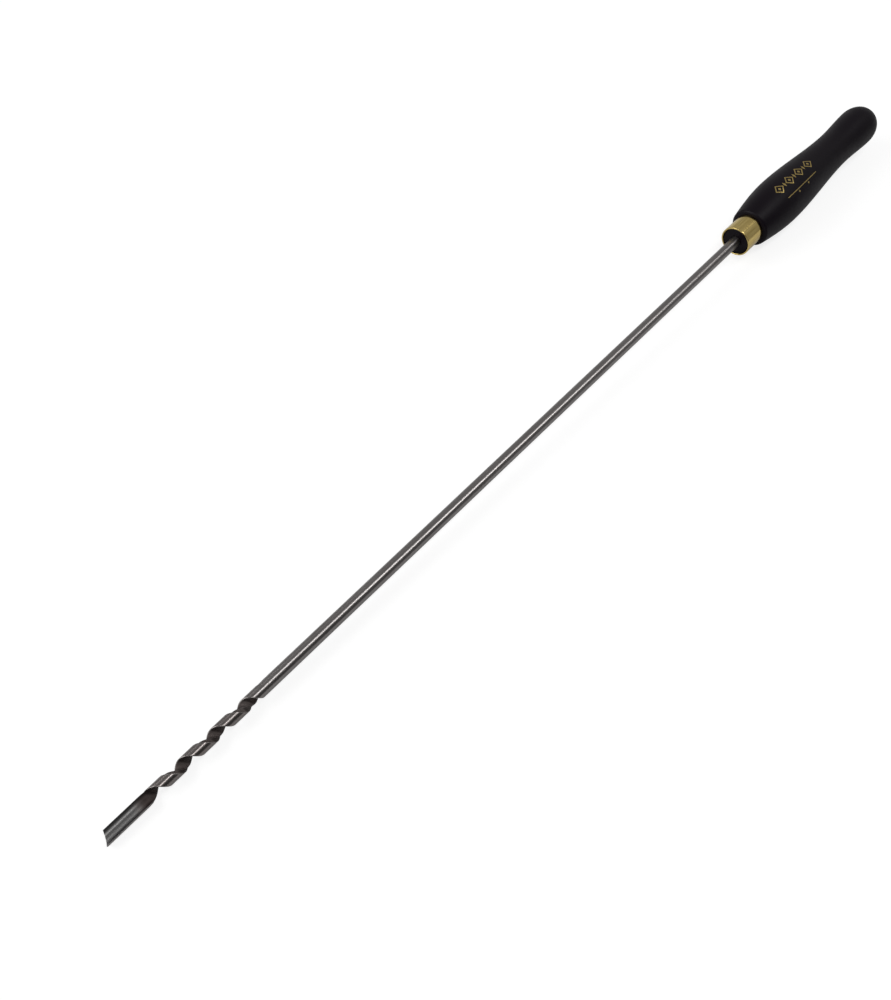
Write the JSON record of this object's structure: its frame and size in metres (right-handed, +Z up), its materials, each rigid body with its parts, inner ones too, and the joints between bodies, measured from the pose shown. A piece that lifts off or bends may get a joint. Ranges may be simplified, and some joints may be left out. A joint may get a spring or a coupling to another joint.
{
  "type": "lathe boring auger",
  "caption": "Long steel auger with a straight spoon end and a right-hand twisted flute, in a turned black handle with a brass ferrule; bores deep lamp cable holes on a lathe.",
  "frame": {"origin": "bottom centre of the bounding box, on the bench that the tool lies on", "axes": "+X along the tool from the cutting tip to the butt of the handle, +Z up; the spoon's open side faces up"},
  "size_m": [0.762, 0.0358, 0.0359],
  "materials": {
    "steel": "ground, satin",
    "brass": "polished",
    "black_lacquer": "black lacquer, satin gloss"
  },
  "bodies": {
    "root": {"auger": "steel", "ferrule": "brass", "handle": "black_lacquer"}
  },
  "joints": []
}
